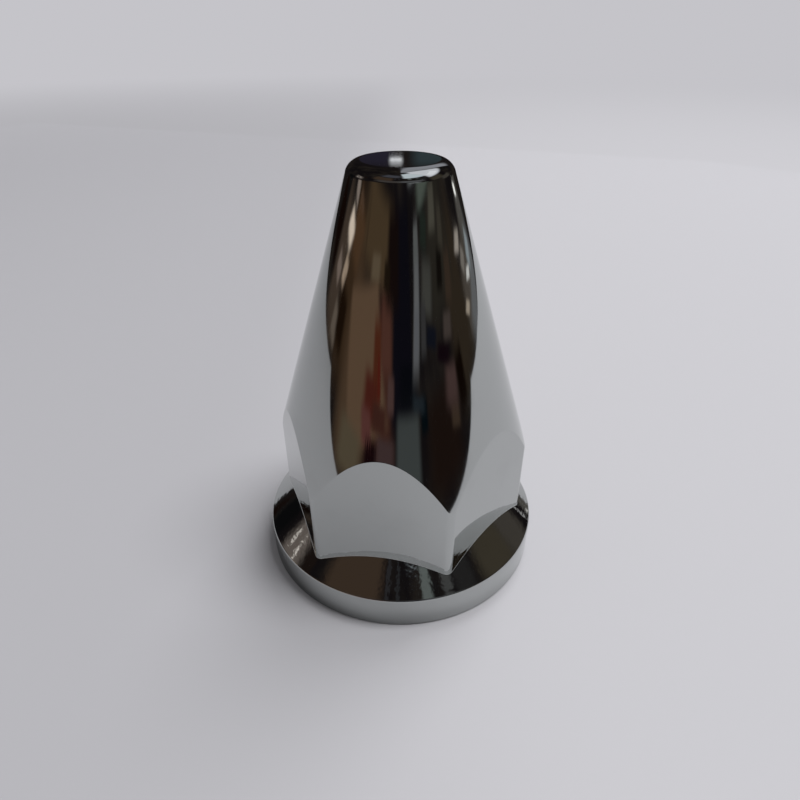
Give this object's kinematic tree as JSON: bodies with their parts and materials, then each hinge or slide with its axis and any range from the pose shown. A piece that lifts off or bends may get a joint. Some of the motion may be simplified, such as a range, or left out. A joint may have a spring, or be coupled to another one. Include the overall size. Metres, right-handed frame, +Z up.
{
  "type": "lug nut cover",
  "caption": "Push-on chrome cover for a hexagonal wheel nut: a round flange, a six-sided skirt and a long cone with a rounded closed tip.",
  "frame": {"origin": "centre of the flange's foot, in the plane that the cover stands on", "axes": "+Z up along the cover's axis, from the open foot to the closed tip; the skirt's corners lie on +X and every 60 degrees from it"},
  "size_m": [0.048, 0.048, 0.0665],
  "materials": {
    "plating": "bright chrome plating over moulded plastic"
  },
  "bodies": {
    "root": {"nut_cover": "plating"}
  },
  "joints": []
}
